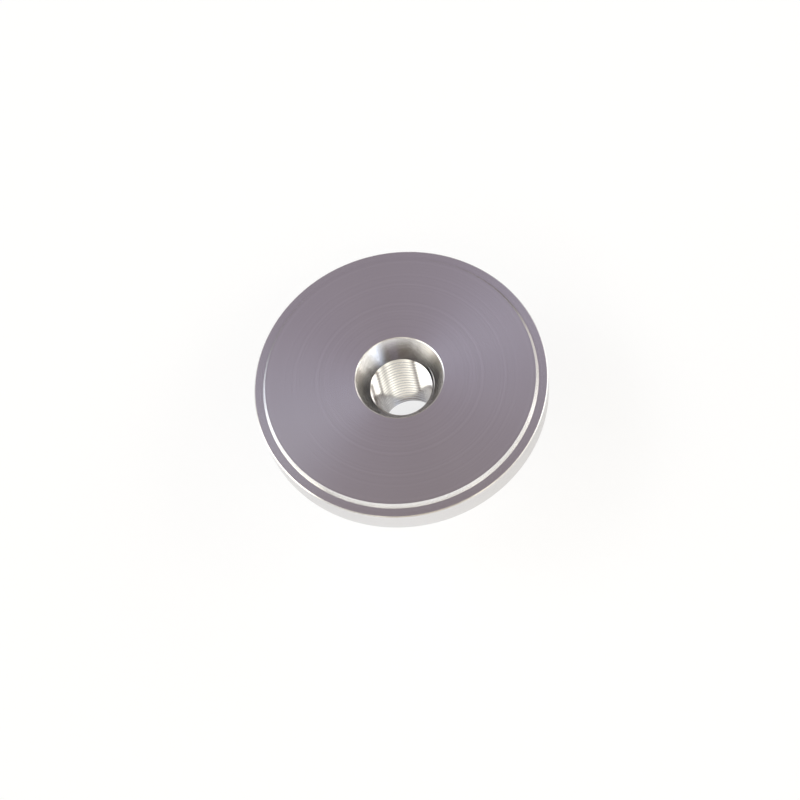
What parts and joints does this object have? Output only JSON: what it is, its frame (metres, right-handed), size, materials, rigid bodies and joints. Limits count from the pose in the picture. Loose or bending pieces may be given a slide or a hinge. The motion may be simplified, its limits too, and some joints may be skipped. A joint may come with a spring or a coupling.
{
  "type": "threaded flange",
  "caption": "Turned metal flange: a thin round disc with a raised face and a stepped rim, on a short hub, with a countersunk threaded bore through its middle.",
  "frame": {"origin": "centre of the hub's end face, on the bore axis", "axes": "+Z along the bore axis, from the hub's end to the raised face; X and Y are any two directions across it"},
  "size_m": [0.062, 0.062, 0.026],
  "materials": {
    "turned_metal": "fine turned, with circular tool marks"
  },
  "bodies": {
    "root": {"threaded_flange": "turned_metal"}
  },
  "joints": []
}
